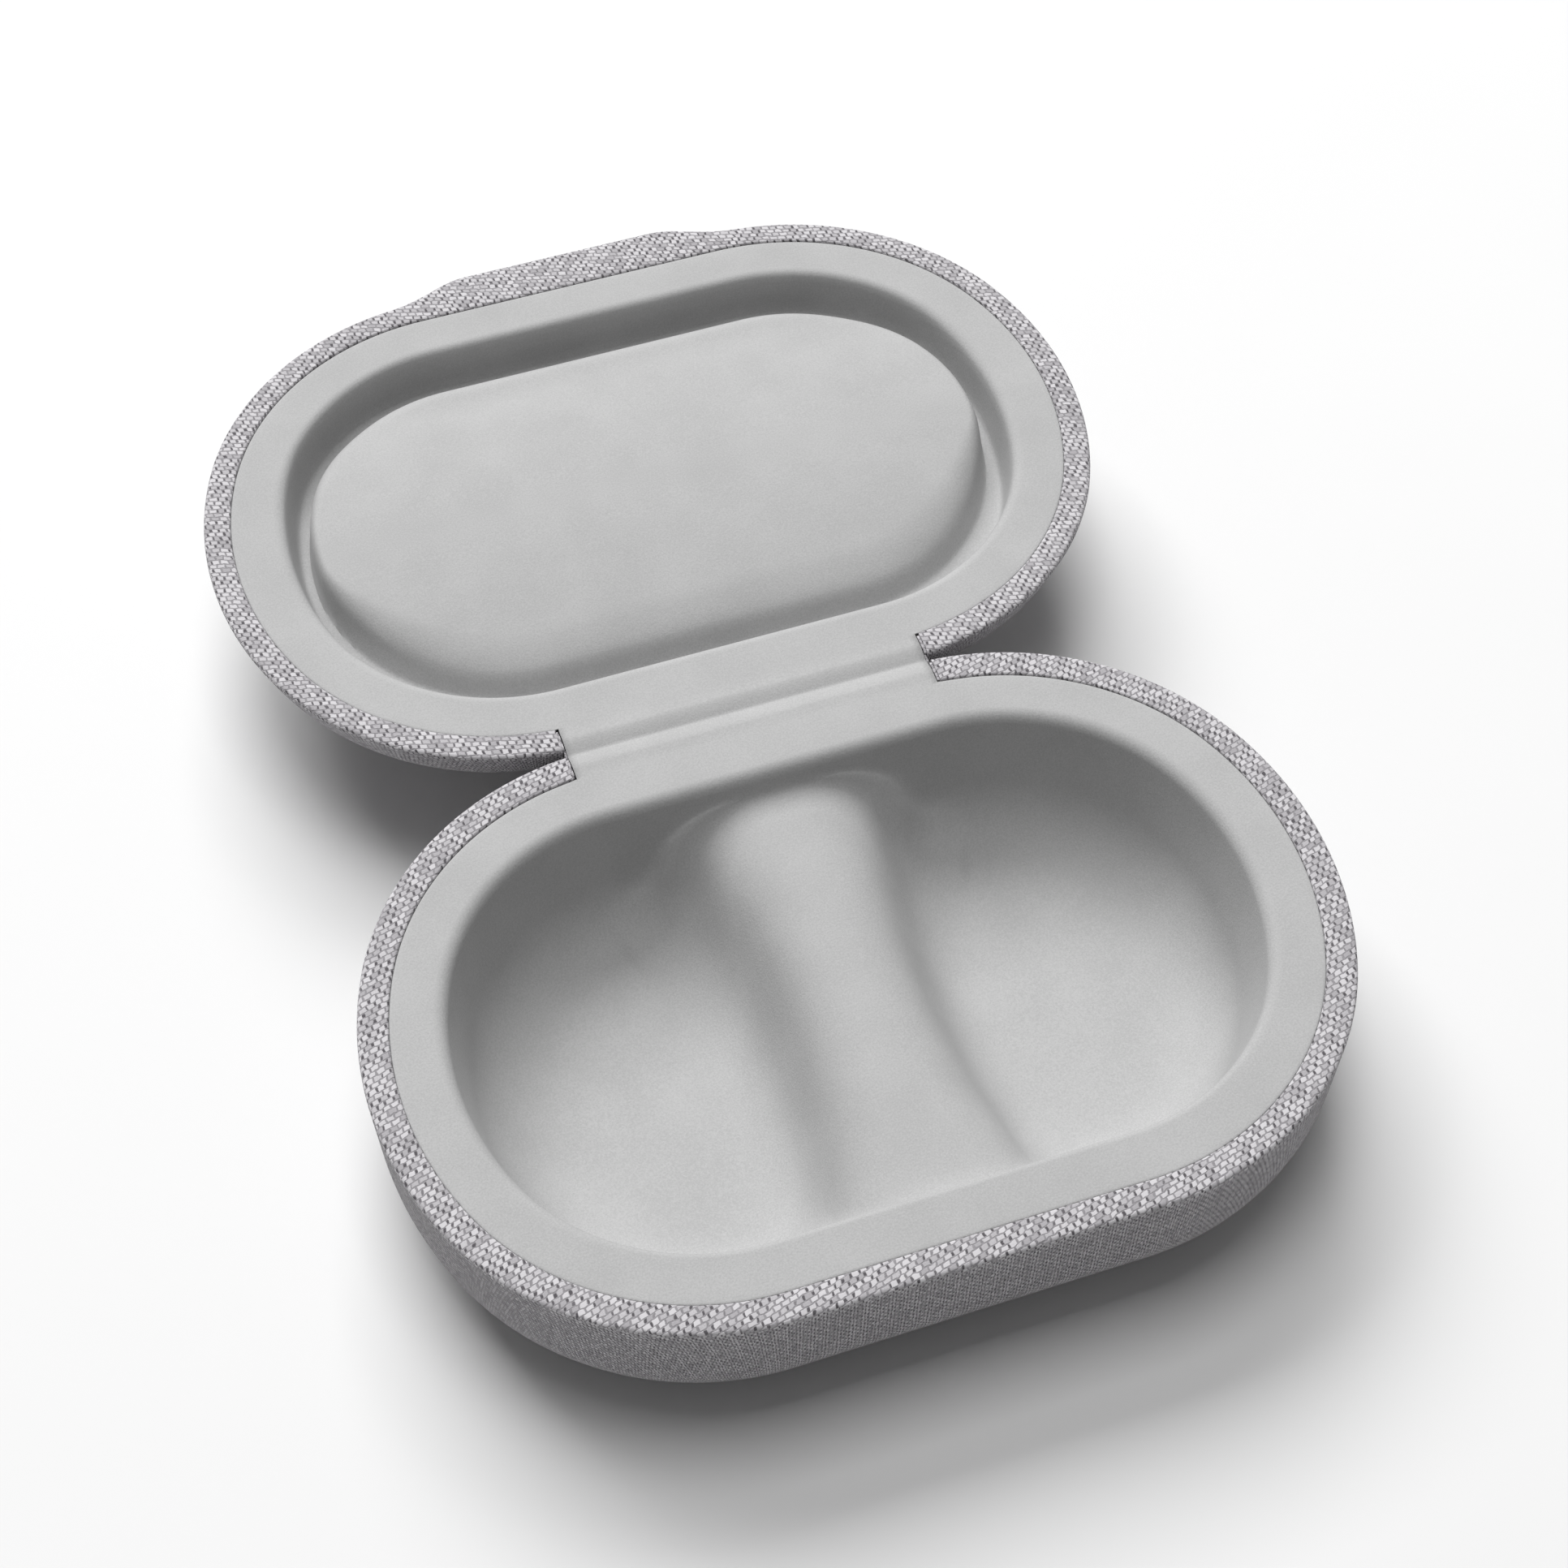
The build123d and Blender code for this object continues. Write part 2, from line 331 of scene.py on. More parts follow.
def gathered(foot, way, growth, steps):
    """Plan points of the rings inside the last one, drawn in to a line along the middle."""
    ring = foot + way * growth
    reach = np.abs(ring[:, 0]).max() - np.abs(ring[:, 1]).max()
    spine = np.stack([np.clip(ring[:, 0], -reach, reach), 0 * ring[:, 0]], 1)
    share = (np.arange(1, steps + 1) / steps)[:, None, None]
    return ring * (1 - share) + spine * share


# ---------------------------------------------------------------- materials


class Nodes:
    """Short way to write a node material."""

    def __init__(self, name):
        self.material = bpy.data.materials.new(name)
        self.material.use_nodes = True
        self.tree = self.material.node_tree
        self.shader = next(n for n in self.tree.nodes if n.type == "BSDF_PRINCIPLED")

    def node(self, kind, settings=None, **inputs):
        made = self.tree.nodes.new(kind)
        for key, value in (settings or {}).items():
            setattr(made, key, value)
        for key, value in inputs.items():
            self.feed(made.inputs[int(key[2:]) if key.startswith("in") else key], value)
        return made

    def feed(self, socket, value):
        if isinstance(value, bpy.types.NodeSocket):
            self.tree.links.new(value, socket)
        else:
            socket.default_value = value

    def math(self, operation, a, b=0.0):
        return self.node("ShaderNodeMath", {"operation": operation}, in0=a, in1=b).outputs[0]

    def times(self, a, b):
        return self.math("MULTIPLY", a, b)

    def weighted(self, a, b, share):
        """a and b added, a with this share and b with the rest."""
        return self.math("ADD", self.times(a, share), self.times(b, 1 - share))

    def off_centre(self, value):
        """Distance from the middle of each whole step of the value."""
        return self.math("ABSOLUTE", self.math("SUBTRACT", self.math("FRACT", value), 0.5))

    def spread(self, value, low, high, to_low=0.0, to_high=1.0):
        made = self.node(
            "ShaderNodeMapRange", {"interpolation_type": "SMOOTHSTEP"}, Value=value
        )
        ends = {"From Min": low, "From Max": high, "To Min": to_low, "To Max": to_high}
        for name, number in ends.items():
            self.feed(made.inputs[name], number)
        return made.outputs[0]

    def colour(self, factor, dark, light):
        made = self.node("ShaderNodeMix", {"data_type": "RGBA"})
        self.feed(made.inputs[0], factor)
        for socket, value in ((made.inputs[6], dark), (made.inputs[7], light)):
            self.feed(socket, value if isinstance(value, bpy.types.NodeSocket) else (*value, 1))
        return made.outputs[2]

    def in_mm(self, at):
        grown = self.node("ShaderNodeVectorMath", {"operation": "SCALE"}, in0=at)
        grown.inputs["Scale"].default_value = 1 / MM
        return grown.outputs[0]

    def place(self):
        """The rest position of the surface."""
        read = self.node("ShaderNodeAttribute", {"attribute_name": "place"})
        return self.in_mm(read.outputs["Vector"])

    def own_place(self):
        """Object coordinates, for what doesn't bend."""
        return self.in_mm(self.node("ShaderNodeTexCoord").outputs["Object"])

    def random(self, across, along):
        """White noise, with one value for each pair of whole steps."""
        cell = self.node(
            "ShaderNodeCombineXYZ",
            in0=self.math("FLOOR", across), in1=self.math("FLOOR", along),
        )
        return self.node(
            "ShaderNodeTexWhiteNoise", {"noise_dimensions": "2D"}, Vector=cell.outputs[0]
        )

    def noise(self, at, size, detail=2.0, roughness=0.5):
        made = self.node("ShaderNodeTexNoise", Vector=at, Scale=1 / size, Detail=detail)
        made.inputs["Roughness"].default_value = roughness
        return made.outputs["Fac"]

    def bump(self, height, depth, strength=1.0):
        made = self.node(
            "ShaderNodeBump", Height=height, Distance=depth * MM, Strength=strength
        )
        return made.outputs[0]

    def finish(self, colour, roughness, normal=None, sheen=0.0, specular=0.5):
        self.feed(self.shader.inputs["Base Color"], colour)
        self.feed(self.shader.inputs["Roughness"], roughness)
        if normal is not None:
            self.feed(self.shader.inputs["Normal"], normal)
        self.shader.inputs["Sheen Weight"].default_value = sheen
        self.shader.inputs["Sheen Roughness"].default_value = 0.5
        self.shader.inputs["Specular IOR Level"].default_value = specular
        return self.material


def lining_material():
    """Flocked microfibre: matte, with a very fine grain."""
    m = Nodes("soft_lining")
    at = m.place()
    fine = m.noise(at, 0.16, 3, 0.6)
    cloud = m.noise(at, 6.0, 2)
    tone = m.spread(m.weighted(fine, cloud, 0.75), 0.3, 0.7)
    colour = m.colour(tone, (0.405, 0.405, 0.405), (0.495, 0.495, 0.495))
    rough = m.spread(fine, 0.3, 0.7, 0.72, 0.86)
    return m.finish(colour, rough, m.bump(fine, 0.04, 0.6), sheen=0.08, specular=0.3)


def strayed_threads(m, uv):
    """Thread lines at the surface, drawn a little out of true."""
    drift = m.node(
        "ShaderNodeTexNoise", {"noise_dimensions": "2D"}, Vector=uv, Scale=1.3, Detail=2.0
    )
    centred = m.node(
        "ShaderNodeVectorMath", {"operation": "SUBTRACT"},
        in0=drift.outputs["Color"], in1=(0.5, 0.5, 0.5),
    )
    strayed = m.node("ShaderNodeVectorMath", {"operation": "MULTIPLY_ADD"}, in0=centred.outputs[0])
    strayed.inputs[1].default_value = (0.32, 0.32, 0.0)
    m.tree.links.new(uv, strayed.inputs[2])
    return m.node("ShaderNodeSeparateXYZ", in0=strayed.outputs[0]).outputs


def woven_material():
    """Weave of heathered yarn: pale floats in slanting rows, over mid-grey yarn with dark gaps."""
    pale_low, pale_high = (0.37, 0.357, 0.374), (0.63, 0.615, 0.635)
    grey_low, grey_high = (0.22, 0.21, 0.224), (0.38, 0.367, 0.384)
    gap_tone = (0.10, 0.093, 0.102)
    # dark tone of the sides' ribs: partly the ribs' colour, partly painted shade on the sides
    rib_and_painted_shade_tone = (0.11, 0.103, 0.112)
    m = Nodes("woven_fabric")
    uv = m.node("ShaderNodeUVMap", {"uv_map": "threads"}).outputs[0]
    thread_x, thread_y = strayed_threads(m, uv)[:2]
    row = m.math("SUBTRACT", thread_y, m.times(thread_x, float_skew))
    along = m.times(row, 1 / float_gap_y)
    # each row of floats starts half a float along from the row before, as bricks do
    stagger = m.times(m.math("MODULO", m.math("FLOOR", along), 2.0), 0.5)
    across = m.math("ADD", m.times(thread_x, 1 / float_gap_x), stagger)
    lot = m.node("ShaderNodeSeparateColor", in0=m.random(across, along).outputs["Color"])
    off_x, off_y = m.off_centre(across), m.off_centre(along)
    # a pale float in each cell, grey yarn between the rows, and a dark gap at most floats' ends
    edge = m.spread(lot.outputs[0], 0, 1, -0.04, 0.04)
    float_x = m.spread(m.math("ADD", off_x, edge), 0.31, 0.43, 1.0, 0.0)
    float_y = m.spread(m.math("SUBTRACT", off_y, edge), 0.33, 0.48, 1.0, 0.0)
    floats = m.times(float_x, float_y)
    open_gap = m.random(m.math("ADD", across, 0.5), along).outputs["Value"]
    gap = m.times(m.spread(off_x, 0.30, 0.41), m.spread(off_y, 0.22, 0.42, 1.0, 0.0))
    gap = m.times(gap, m.spread(open_gap, 0.05, 0.75))
    fibre = m.noise(uv, 0.10, 2)
    heather = m.spread(m.weighted(lot.outputs[2], fibre, 0.6), 0.1, 0.75)
    ground = m.colour(gap, m.colour(fibre, grey_low, grey_high), gap_tone)
    colour = m.colour(m.spread(floats, 0.1, 0.7), ground, m.colour(heather, pale_low, pale_high))
    # stretched down the sides, the cloth shows fine upright ribs; their dark tone is partly the
    # ribs' own colour and partly painted shade, which makes the sides darker than the rim
    height_at_rest = m.node("ShaderNodeSeparateXYZ", in0=m.place()).outputs[2]
    on_side = m.spread(height_at_rest, rim_z - rib_and_shade_full, rim_z - rib_and_shade_gone, 1.0, 0.0)
    between = m.spread(m.off_centre(m.times(thread_x, 1 / rib_gap)), 0.16, 0.46)
    rib_and_painted_shade = m.times(m.times(between, on_side), 0.6)
    # painted shade: the rib tone darkens only the sides, below the rim
    colour = m.colour(rib_and_painted_shade, colour, rib_and_painted_shade_tone)
    height = m.math("SUBTRACT", m.times(floats, 0.5), m.times(gap, 0.4))
    height = m.math("SUBTRACT", height, m.times(rib_and_painted_shade, 0.5))
    height = m.math("ADD", height, m.times(fibre, 0.2))
    rough = m.spread(floats, 0.0, 1.0, 0.95, 0.78)
    return m.finish(colour, rough, m.bump(height, 0.12, 0.7), sheen=0.1, specular=0.3)


def moulded_material(name, dark, light, rough_low, rough_high, grain, depth):
    """Moulded or coated material with a fine grain, for the parts inside."""
    m = Nodes(name)
    at = m.own_place()
    fine = m.noise(at, grain, 3, 0.6)
    cloud = m.noise(at, grain * 12, 2)
    colour = m.colour(m.spread(m.weighted(fine, cloud, 0.5), 0.35, 0.65), dark, light)
    rough = m.spread(fine, 0.3, 0.7, rough_low, rough_high)
    return m.finish(colour, rough, m.bump(fine, depth, 0.5), specular=0.4)


def tape_material():
    """Black ribbed tape under the fold."""
    m = Nodes("hinge_tape")
    at = m.place()
    ribs = m.node(
        "ShaderNodeTexWave", {"bands_direction": "X", "wave_profile": "SIN"}, Vector=at, Scale=0.9
    )
    fine = m.noise(at, 0.2, 2)
    tone = m.weighted(ribs.outputs["Fac"], fine, 0.5)
    colour = m.colour(tone, (0.004, 0.004, 0.004), (0.016, 0.016, 0.017))
    rough = m.spread(fine, 0.3, 0.7, 0.8, 0.95)
    return m.finish(colour, rough, m.bump(tone, 0.03, 0.6), specular=0.15)


lining_look = lining_material()
woven_look = woven_material()
tape_look = tape_material()
board_look = moulded_material(
    "moulded_board", (0.012, 0.012, 0.012), (0.03, 0.03, 0.031), 0.7, 0.9, 0.5, 0.04
)
frame_look = moulded_material(
    "frame_plastic", (0.02, 0.02, 0.021), (0.045, 0.045, 0.047), 0.45, 0.6, 0.3, 0.01
)
insert_look = moulded_material(
    "insert_rubber", (0.10, 0.10, 0.10), (0.16, 0.16, 0.16), 0.75, 0.9, 0.4, 0.03
)
foam_look = moulded_material(
    "pad_foam", (0.16, 0.16, 0.165), (0.28, 0.28, 0.285), 0.85, 1.0, 0.35, 0.06
)
magnet_look = moulded_material(
    "magnet", (0.45, 0.45, 0.46), (0.6, 0.6, 0.61), 0.25, 0.4, 0.15, 0.005
)
magnet_look.node_tree.nodes["Principled BSDF"].inputs["Metallic"].default_value = 1.0

node_looks = {
    "outer_fabric": woven_look,
    "lining": lining_look,
    "hinge_tape": tape_look,
    "shell": board_look,
    "rim_frame": frame_look,
    "pocket_insert": insert_look,
    "pad": foam_look,
    "magnet_left": magnet_look,
    "magnet_right": magnet_look,
}
for name, node in frame["nodes"].items():
    look = node_looks[name.split("_", 1)[1]]
    if not node.material_slots:
        node.data.materials.append(look)
    for holder in node.material_slots:
        holder.material = look


# ---------------------------------------------------------------- lining


def groove(y):
    """Depth of the fold across the hinge, for points at y."""
    away = np.sqrt((y - hinge_y) ** 2 + groove_round**2) / groove_half
    return groove_depth * np.clip(1 - away, 0, None) ** groove_ease


def smaller(a, b, blend):
    """The smaller of two depths, rounded where they meet."""
    share = np.clip(0.5 + 0.5 * (b - a) / blend, 0, 1)
    return b * (1 - share) + a * share - blend * share * (1 - share)


def wall_profile(edge_radius):
    """The rim, a wall and the pockets' floor, from the lining's edge inwards."""
    run = pocket_depth * math.tan(math.radians(pocket_draft))
    return profile([
        (0, 0, 0, 0.8),
        (rim_width, 0, edge_radius, 0.5),
        (rim_width + run, pocket_depth, floor_radius, 0.8),
        (-floor_end, pocket_depth, 0, 1),
    ])


def saddle_profile():
    """Depth against the distance from the flat part of the crest, which starts to fall at 0."""
    turn = math.radians(saddle_slope)
    shoulder = saddle_radius * math.tan(turn / 2)
    foot = shoulder + (pocket_depth - saddle_depth) / math.tan(turn)
    return profile([
        (-12, saddle_depth, 0, 1),
        (shoulder, saddle_depth, saddle_radius, 0.5),
        (foot, pocket_depth, saddle_foot_radius, 0.5),
        (45, pocket_depth, 0, 1),
    ])


saddle_across, saddle_down = saddle_profile()
saddle_floor = saddle_across[np.argmax(saddle_down > pocket_depth - 0.001)]
soft_wall = wall_profile(soft_edge_radius)
crisp_wall = wall_profile(crisp_edge_radius)
shelf_inset = np.interp(saddle_depth, soft_wall[1], soft_wall[0])


def base_hollow(x, y, inset):
    """Depth of the base's lining: two rounded pockets with a low saddle between them."""
    soft_share = smoothstep((y - crisp_end) / soft_run)
    flare = np.where(y < 0, crest_flare_front, crest_flare_back)
    crest = crest_half + flare * (np.abs(y) / flare_at) ** 2
    gentler = 1 + slope_flare_back * (np.clip(y, 0, None) / flare_at) ** 2
    away = (np.abs(x) - crest) / gentler
    saddle = np.interp(away, saddle_across, saddle_down)
    toe = np.clip(1 - (inset - rim_width - 0.5) / saddle_toe_run, 0, 1)
    saddle = saddle - saddle_toe * toe**2
    # where the wall is as deep as the saddle is here, and the rounded nearer of the two
    alike = [np.interp(saddle, down, across) for across, down in (crisp_wall, soft_wall)]
    alike = alike[0] * (1 - soft_share) + alike[1] * soft_share
    alike = alike + np.clip(away - saddle_floor, 0, None)
    past_shelf = np.minimum(inset, alike) - shelf_inset
    blend = np.clip(least_blend + blend_growth * past_shelf, least_blend, corner_blend)
    inset = smaller(inset, alike, blend)
    crisp, soft = np.interp(inset, *crisp_wall), np.interp(inset, *soft_wall)
    return crisp * (1 - soft_share) + soft * soft_share


lid_across, lid_down = profile([
    (0, 0, 0, 0.8),
    (rim_width, 0, 0.9, 0.3),
    (rim_width + lid_wall_run, lid_groove, 0.5, 0.3),
    (pad_foot, lid_groove, 0.4, 0.2),
    (pad_foot + pad_wall_run, pad_depth, 1.8, 0.3),
    (-floor_end, pad_depth, 0, 1),
])
# Insets where that profile is level: on the rim, in the groove and on the pad. The last two move
# round the lid, so that the pad is crisp at its ends and rolled by the hinge.
level_places = (3.6, 5.67, 8.6)
groove_at = {"end": 6.45, "near": 5.9, "far": 5.67}
pad_top_at = {"end": 7.8, "near": 12.9, "far": 8.9}
near_from, far_from = 1.0, 3.0          # where they start to move, either side of the middle
move_run = 12.0


def lid_hollow(x, y, inset):
    """Depth of the lid's lining: a groove round a raised pad, domed across its length."""
    near = smoothstep((y - near_from) / move_run)
    far = smoothstep((-y - far_from) / move_run)
    moved_groove, moved_top = (
        at["end"] * (1 - near - far) + at["near"] * near + at["far"] * far
        for at in (groove_at, pad_top_at)
    )
    on_rim, in_groove, on_pad = level_places
    alike = on_rim * np.clip(inset / on_rim, 0, 1)
    wall_share = np.clip((inset - on_rim) / (moved_groove - on_rim), 0, 1)
    alike = alike + wall_share * (in_groove - on_rim)
    pad_share = np.clip((inset - moved_groove) / (moved_top - moved_groove), 0, None)
    alike = alike + pad_share * (on_pad - in_groove)
    down = np.interp(alike, lid_across, lid_down)
    away = np.minimum(np.abs(y) / pad_half, 1)
    past = np.clip((np.abs(y) - pad_half) / pad_ease, 0, 1)
    fall = pad_dome * (away**2 + 2 * pad_ease / pad_half * (past - past**2 / 2))
    return np.where(alike > in_groove, np.minimum(down + fall, lid_groove), down)


lining_foot, lining_way, _ = columns(tongue_half, lining_gap)
tongue_steps = int(round(edge_run(tongue_half) / lining_gap))
middle_insets = middle_gap * np.arange(1, middle_rings + 1)


def add_rings(surface, growth, middle_from, depth_at, on_lid, facing_in):
    """Rings of the lining's columns at these growths, closed over the middle; returns depths."""
    plan = lining_foot[None] + lining_way[None] * growth[:, None, None]
    plan = np.concatenate([plan, gathered(lining_foot, lining_way, growth[-1], middle_rings)])
    inset = np.concatenate([-growth, middle_from + middle_insets])
    depth = depth_at(plan[..., 0], plan[..., 1], inset[:, None])
    points = to_row_frame(plan[..., 0], plan[..., 1], depth, on_lid)
    surface.add(points, closed=True, flip=facing_in != on_lid)
    return depth


def add_lining_half(surface, insets, hollow, on_lid):
    """A half of the lining: the hollow and rim, the turned-down edge and half of the tongue."""
    def depth_at(x, y, inset):
        return lining_sink + hollow(x, y, inset)

    add_rings(surface, -insets, insets[-1], depth_at, on_lid, True)
    foot, way = lining_foot, lining_way
    # the edge turns down beside the woven band, except where the tongue crosses the hinge
    behind = foot[:, 1] > 0
    turned = np.where(behind, smoothstep((np.abs(foot[:, 0]) - tongue_half) / 1.2), 1.0)
    out = np.array([-insets[0], -0.1, -0.05, -0.015, -0.005])[:, None]
    down = np.array([0.0, 0.02, 0.06, 0.14, 0.75])[:, None] * turned
    keep = np.ones((len(out) - 1, len(foot)), bool)
    keep[:, :tongue_steps] = False
    keep[:, -tongue_steps:] = False
    edge = foot[None] + way[None] * out[..., None]
    points = to_row_frame(edge[..., 0], edge[..., 1], lining_sink + down, on_lid)
    surface.add(points, closed=True, flip=on_lid, keep=keep)
    # the tongue, up to the fold line, in shorter steps once it is past the rim
    order = np.arange(-tongue_steps, tongue_steps + 1)
    start = foot[order] - way[order] * insets[0]
    past_rim = 0.35
    share = np.concatenate([
        past_rim * np.linspace(0, 1, 4), past_rim + (1 - past_rim) * np.linspace(0, 1, 19)[1:]
    ])
    y = start[None, :, 1] + (hinge_y - start[None, :, 1]) * share[:, None]
    x = start[None, :, 0] + 0 * y
    flat = lining_sink * (1 - 0.6 * smoothstep((y - half_width) / 1.5))
    surface.add(to_row_frame(x, y, flat + groove(y), on_lid), flip=on_lid)


lining_sheet = Surface()
base_insets = np.unique(np.round(np.concatenate([[0.25], soft_wall[0][soft_wall[0] > 0.5]]), 4))
lid_insets = np.concatenate([
    [0.25, 0.9, 1.7, 2.5], np.arange(3.2, 8.4, 0.16), np.arange(8.5, 13.0, 0.4),
    np.arange(13.2, -floor_end - 0.4, 1.0), [-floor_end],
])
add_lining_half(lining_sheet, base_insets, base_hollow, False)
add_lining_half(lining_sheet, lid_insets, lid_hollow, True)
lining = lining_sheet.make("soft_lining", lining_look, sharp=60)
thicken(lining, lining_thickness)


# ---------------------------------------------------------------- what backs the lining


def backing(name, material, top_insets, surface_depth, sides, on_lid):
    """Closed block under the lining: its own upper surface, then its sides and bottom."""
    surface = Surface()
    last = max(top_insets[-1], -floor_end)
    top = add_rings(surface, -top_insets, last, surface_depth, on_lid, True)
    growth, down = profile(sides)

    def side_depth(x, y, inset):
        depth = np.concatenate([down, np.full(middle_rings, down[-1])])[:, None] + 0 * x
        depth[0] = top[0]
        return depth

    add_rings(surface, growth, last, side_depth, on_lid, False)
    return surface.make(name, material, sharp=50)


def pad_surface(x, y, inset):
    """Top of the foam, just under the lid's lining."""
    return lid_hollow(x, y, inset - under_lining) + lining_sink + under_lining


foam_foot = groove_at["end"] + 2 * lining_thickness
foam_insets = lid_insets[lid_insets > foam_foot + 0.1]
foam = backing(
    "lid_foam", foam_look, np.concatenate([[foam_foot], foam_insets]), pad_surface,
    [
        (-foam_foot, lid_floor - 0.3, 0, 0.3),
        (-foam_foot - 0.1, lid_floor, 0, 1),
        (floor_end, lid_floor, 0, 1),
    ],
    True,
)


def insert_surface(x, y, inset):
    """Top of the insert, just under the base's lining and below the rim frame."""
    hollow = base_hollow(np.abs(x) + lining_thickness, y, inset + under_lining)
    return np.maximum(hollow + lining_sink + under_lining, frame_depth + clear)


insert_insets = base_insets[base_insets > 2.0]
insert_draft = math.tan(math.radians(base_draft))
insert = backing(
    "base_insert", insert_look, np.concatenate([[clear, 1.0], insert_insets]), insert_surface,
    [
        (-clear, frame_depth + clear, 0, 0.8),
        (-clear - (base_floor - frame_depth) * insert_draft, base_floor, 7.0, 0.8),
        (floor_end, base_floor, 0, 1),
    ],
    False,
)


# ---------------------------------------------------------------- woven skins


def skin_profile(depth, draft, edge_radius):
    """The cloth's section, as growth from the lining's edge against depth."""
    drop = math.tan(math.radians(draft))
    floor_across = band_width - depth * drop
    return profile([
        (band_start, tuck_depth, 0, 0.3),
        (band_start, 0, 0.2, 0.35),
        (band_width, 0, fold_radius, 0.35),
        (band_width - cut_depth * drop, cut_depth, 0, 0.5),
        (floor_across, depth, edge_radius, 1.0),
        (floor_end, depth, 0, 1),
    ])


skin_foot, skin_way, band_way = columns(band_cut_half, skin_gap)
skin_cols = len(skin_foot)
cut_steps = int(round(edge_run(band_cut_half) / skin_gap))


def nearest_row(distance, allowed):
    """The row with the least distance, among the allowed ones."""
    return int(np.argmin(np.where(allowed, distance, np.inf)))


def lip_growth(across, down, fold_row):
    """How much further out the skin is at the finger lip, for each row and column."""
    past_crest = np.abs(skin_foot[:, 0]) - lip_crest_half
    reach = lip_reach * (1 - smoothstep(past_crest / lip_run)) * (skin_foot[:, 1] < 0)
    hold = np.clip(across / band_width, 0, 1)
    hold[fold_row:] = 1
    hold = hold * (1 - smoothstep((down - lip_depth) / lip_fall))
    return hold[:, None] * reach


def woven_skin(name, depth, draft, edge_radius, on_lid):
    """The outer cloth of a half: tucked in at the rim, then down the walls and over the floor."""
    across, down = skin_profile(depth, draft, edge_radius)
    growth = across[:, None] + np.zeros(skin_cols)
    sunk = down[:, None] + np.zeros(skin_cols)
    cut_row = nearest_row(np.abs(down - cut_depth), across >= 1)
    if on_lid:
        growth = growth + lip_growth(across, down, cut_row - fold_rows)
    width = growth.max(0)
    crown = np.clip(1 - (2 * growth / width - 1) ** 2, 0, 1) * (down < 0.3)[:, None]
    sunk = sunk - band_crown * crown
    # thread lines across the rim and down the walls, and those of the floor
    step = np.hypot(np.diff(growth, axis=0), np.diff(sunk, axis=0))
    walked = np.concatenate([np.zeros((1, skin_cols)), np.cumsum(step, 0)])
    top_row = nearest_row(np.abs(across - band_width / 2), down <= 0.3)
    from_top = walked - walked[top_row] + growth[top_row]
    from_floor = walked[-1] - walked + growth[-1]
    # the floor's threads meet the wall's where the bottom starts to turn
    turn_depth = depth - edge_radius * 0.55
    switch = nearest_row(np.abs(down - turn_depth), across >= -3)
    way = np.where(growth[..., None] > 0, band_way[None], skin_way[None])
    plan = skin_foot[None] + way * growth[..., None]
    middle = gathered(skin_foot, skin_way, floor_end, skin_middle_rings)
    plan = np.concatenate([plan, middle])
    sunk = np.concatenate([sunk, np.full((skin_middle_rings, skin_cols), depth)])
    top_threads = skin_foot[None] + way * from_top[..., None]
    floor_threads = skin_foot[None] + skin_way[None] * from_floor[..., None]
    top_threads = np.concatenate([top_threads, middle])
    floor_threads = np.concatenate([floor_threads, middle])
    keep = np.ones((len(plan) - 1, skin_cols), bool)
    keep[:cut_row, :cut_steps] = False
    keep[:cut_row, -cut_steps:] = False
    surface = Surface()
    points = to_row_frame(plan[..., 0], plan[..., 1], sunk, on_lid)
    side_row = int(np.argmax((across > 1) & (down > 0.15)))
    threads = [
        (0, top_threads),
        (side_row, wall_fineness * top_threads),
        (switch, wall_fineness * floor_threads),
    ]
    index = surface.add(points, closed=True, flip=on_lid, keep=keep, threads=threads)
    # the band's cut ends are closed
    for column in (cut_steps, -cut_steps):
        rim = index[: cut_row + 1, column]
        threads = list(zip(growth[: cut_row + 1, column], down[: cut_row + 1]))
        if (column > 0) != on_lid:
            rim, threads = rim[::-1], threads[::-1]
        surface.face(rim, threads)
    piece = surface.make(name, woven_look, sharp=50)
    thicken(piece, skin_thickness)
    return piece


base_skin = woven_skin("base_woven_skin", rim_z, base_draft, base_edge_radius, False)
lid_skin = woven_skin("lid_woven_skin", lid_depth, lid_draft, lid_edge_radius, True)


# ---------------------------------------------------------------- hinge


def hinge_strip(name, half, y, depth, material, threads=None, end_depth=None):
    """Strip across the hinge, from its section. Its ends may be turned up, to end_depth."""
    x = np.linspace(-half, half, 61)
    along = x
    if end_depth is not None:
        x = np.concatenate([[-half], x, [half]])
        along = np.concatenate([[-half - 1], along, [half + 1]])
    grid_x, grid_y = np.meshgrid(x, y)
    grid_depth = depth[:, None] + 0 * grid_x
    if end_depth is not None:
        grid_depth[:, [0, -1]] = end_depth
    if threads is not None:
        threads = wall_fineness * np.stack(np.broadcast_arrays(along, threads[:, None]), -1)
    surface = Surface()
    surface.add(to_row_frame(grid_x, grid_y, grid_depth, False), threads=threads)
    return surface.make(name, material)


tape_end = half_width - tape_reach
tape_y = np.concatenate([
    np.linspace(tape_end, hinge_y - 2, 5)[:-1],
    np.linspace(hinge_y - 2, hinge_y + 2, 25),
    np.linspace(hinge_y + 2, 2 * hinge_y - tape_end, 5)[1:],
])
tape_depth = lining_sink + tape_sink + 0.8 * groove(tape_y)
tape = hinge_strip("fold_tape", tape_half, tape_y, tape_depth, tape_look)
thicken(tape, tape_thickness)

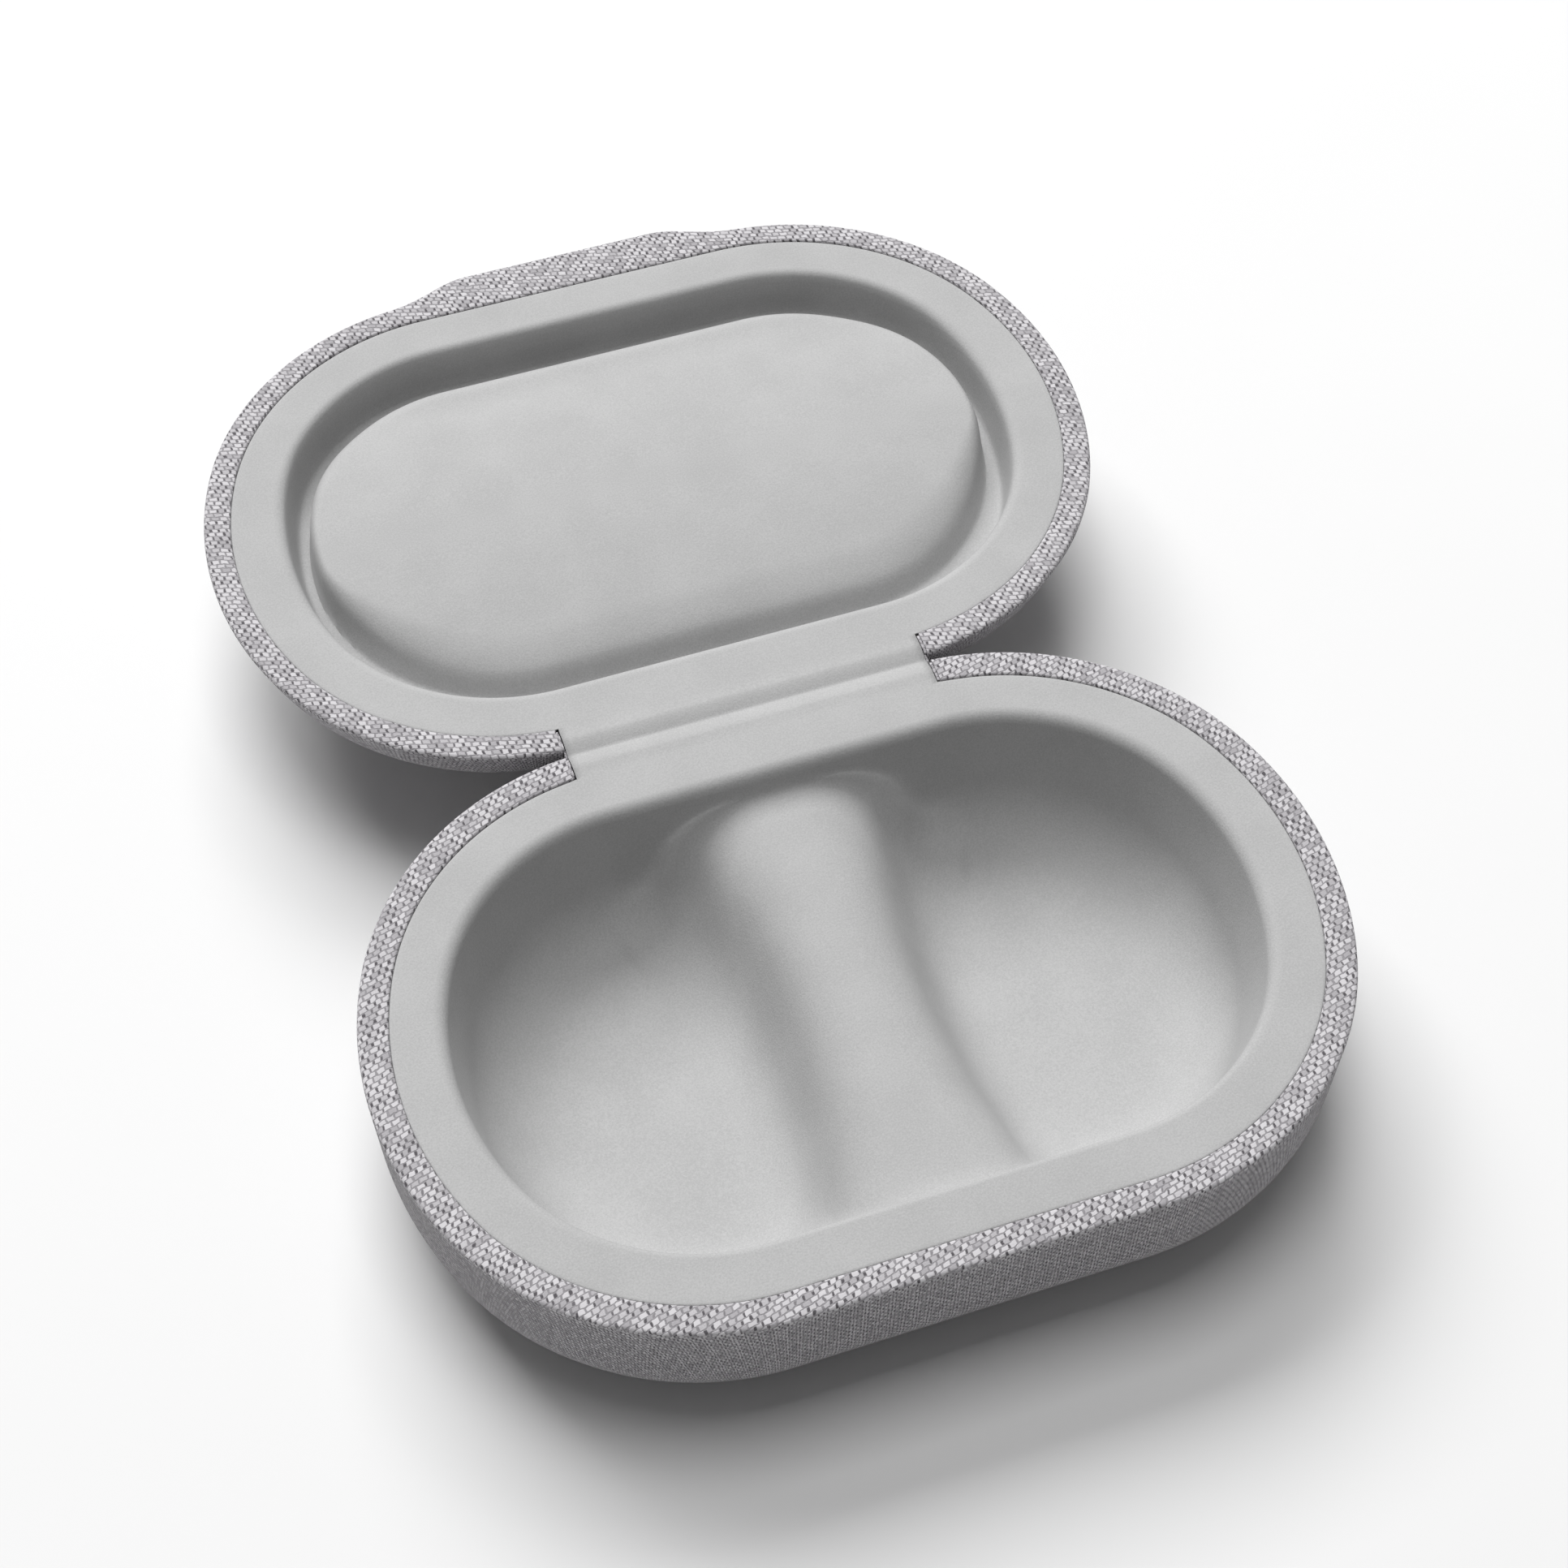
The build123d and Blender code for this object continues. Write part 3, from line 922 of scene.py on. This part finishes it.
outer_y = half_width + band_width
base_wall_y = outer_y - cut_depth * math.tan(math.radians(base_draft))
lid_wall_y = 2 * hinge_y - outer_y + cut_depth * math.tan(math.radians(lid_draft))
spine_y = np.linspace(base_wall_y - spine_lap, lid_wall_y + spine_lap, 19)
spine_share = (spine_y - spine_y[0]) / (spine_y[-1] - spine_y[0])
spine_depth = cut_depth + spine_sink + spine_sag * np.sin(math.pi * spine_share)
spine_length = math.pi * (cut_depth + 0.2)
spine_threads = outer_y + cut_depth + spine_share * spine_length
spine = hinge_strip(
    "woven_spine", spine_half, spine_y, spine_depth, woven_look, spine_threads, spine_end_depth
)
for polygon in spine.data.polygons:
    polygon.flip()
thicken(spine, spine_thickness)


# ---------------------------------------------------------------- riding, blending, replacing

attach(base_skin, "base")
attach(lid_skin, "lid")
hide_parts("base_outer_fabric")
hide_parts("lid_outer_fabric")

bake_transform(lining)
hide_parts("base_lining", "lid_lining")

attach(foam, "lid")
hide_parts("lid_pad")
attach(insert, "base")
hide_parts("base_pocket_insert")

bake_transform(tape)
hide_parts("base_hinge_tape", "lid_hinge_tape")

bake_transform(spine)


# ---------------------------------------------------------------- floor, light, camera


def make_floor():
    half_side = 3.0
    form = bmesh.new()
    bmesh.ops.create_grid(form, x_segments=12, y_segments=12, size=half_side)
    mesh = bpy.data.meshes.new("floor")
    form.to_mesh(mesh)
    form.free()
    floor = bpy.data.objects.new("floor", mesh)
    bpy.context.scene.collection.objects.link(floor)
    m = Nodes("floor_paper")
    at = m.own_place()
    tone = m.noise(at, 40.0, 2)
    colour = m.colour(tone, (0.82, 0.82, 0.82), (0.84, 0.84, 0.84))
    mesh.materials.append(m.finish(colour, m.spread(tone, 0.3, 0.7, 0.9, 0.95), specular=0.1))
    return floor


make_floor()

scene = bpy.context.scene
scene.view_settings.view_transform = "Standard"
world = bpy.data.worlds.new("studio")
scene.world = world
world.use_nodes = True
world_light = next(n for n in world.node_tree.nodes if n.type == "BACKGROUND")
world_light.inputs["Color"].default_value = (1, 1, 1, 1)
world_light.inputs["Strength"].default_value = 0.145


def area_light(name, at, aim, size, power):
    data = bpy.data.lights.new(name, "AREA")
    data.shape = "RECTANGLE"
    data.size, data.size_y = size
    data.energy = power
    lamp = bpy.data.objects.new(name, data)
    scene.collection.objects.link(lamp)
    lamp.location = at
    lamp.rotation_euler = (Vector(aim) - Vector(at)).to_track_quat("-Z", "Y").to_euler()


middle = (0, hinge_y * MM, rim_z * MM)
area_light("key", (-0.085, 1.34, 1.451), middle, (1.53, 1.02), 39.1)
area_light("top", (0.0, 0.235, 1.859), middle, (0.85, 0.85), 13.1)

camera_azimuth = math.radians(-18.86)
camera_elevation = math.radians(53.49)
camera_distance = 0.2609
aim = Vector((0.0001, 0.0194, rim_z * MM))
back = Vector((
    math.sin(camera_azimuth) * math.cos(camera_elevation),
    -math.cos(camera_azimuth) * math.cos(camera_elevation),
    math.sin(camera_elevation),
))
camera_data = bpy.data.cameras.new("camera")
camera_data.lens = 70.83
camera_data.sensor_width = 36
camera_data.clip_start = 0.01
camera = bpy.data.objects.new("camera", camera_data)
scene.collection.objects.link(camera)
camera.location = aim + back * camera_distance
camera.rotation_euler = (-back).to_track_quat("-Z", "Y").to_euler()
scene.camera = camera
